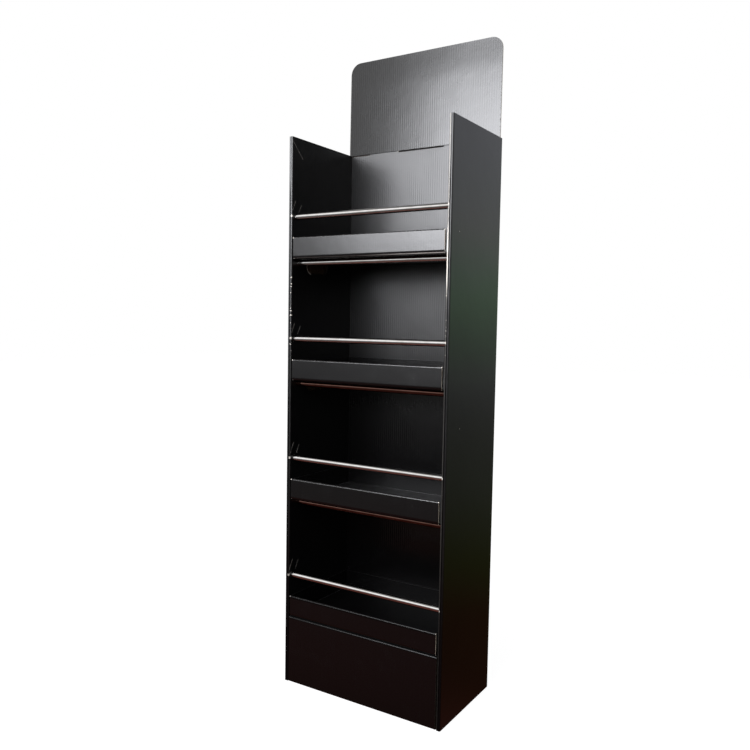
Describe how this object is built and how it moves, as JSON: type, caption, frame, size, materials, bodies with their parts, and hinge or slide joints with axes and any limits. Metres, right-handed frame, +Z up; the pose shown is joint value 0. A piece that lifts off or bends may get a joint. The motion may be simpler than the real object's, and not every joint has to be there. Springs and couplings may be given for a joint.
{
  "type": "cardboard display stand",
  "caption": "Free-standing black cardboard shop display: double side walls, a rounded header, rolled-lip shelf trays and chromed guard tubes.",
  "frame": {"origin": "on the floor, at the middle of the stand's footprint", "axes": "+Z up; the open front faces -Y and +X is to the right as the front is faced"},
  "size_m": [0.458, 0.27, 1.65],
  "materials": {
    "black_board": "glossy black laminate over corrugated board",
    "chromed_tube": "bright chrome"
  },
  "bodies": {
    "root": {"body": "black_board", "back_card": "black_board", "plinth": "black_board", "tray_1": "black_board", "guard_tube_1": "chromed_tube", "tray_2": "black_board", "guard_tube_2": "chromed_tube", "shelf_tube_2": "chromed_tube", "tray_3": "black_board", "guard_tube_3": "chromed_tube", "shelf_tube_3": "chromed_tube", "tray_4": "black_board", "guard_tube_4": "chromed_tube", "shelf_tube_4": "chromed_tube"}
  },
  "joints": []
}
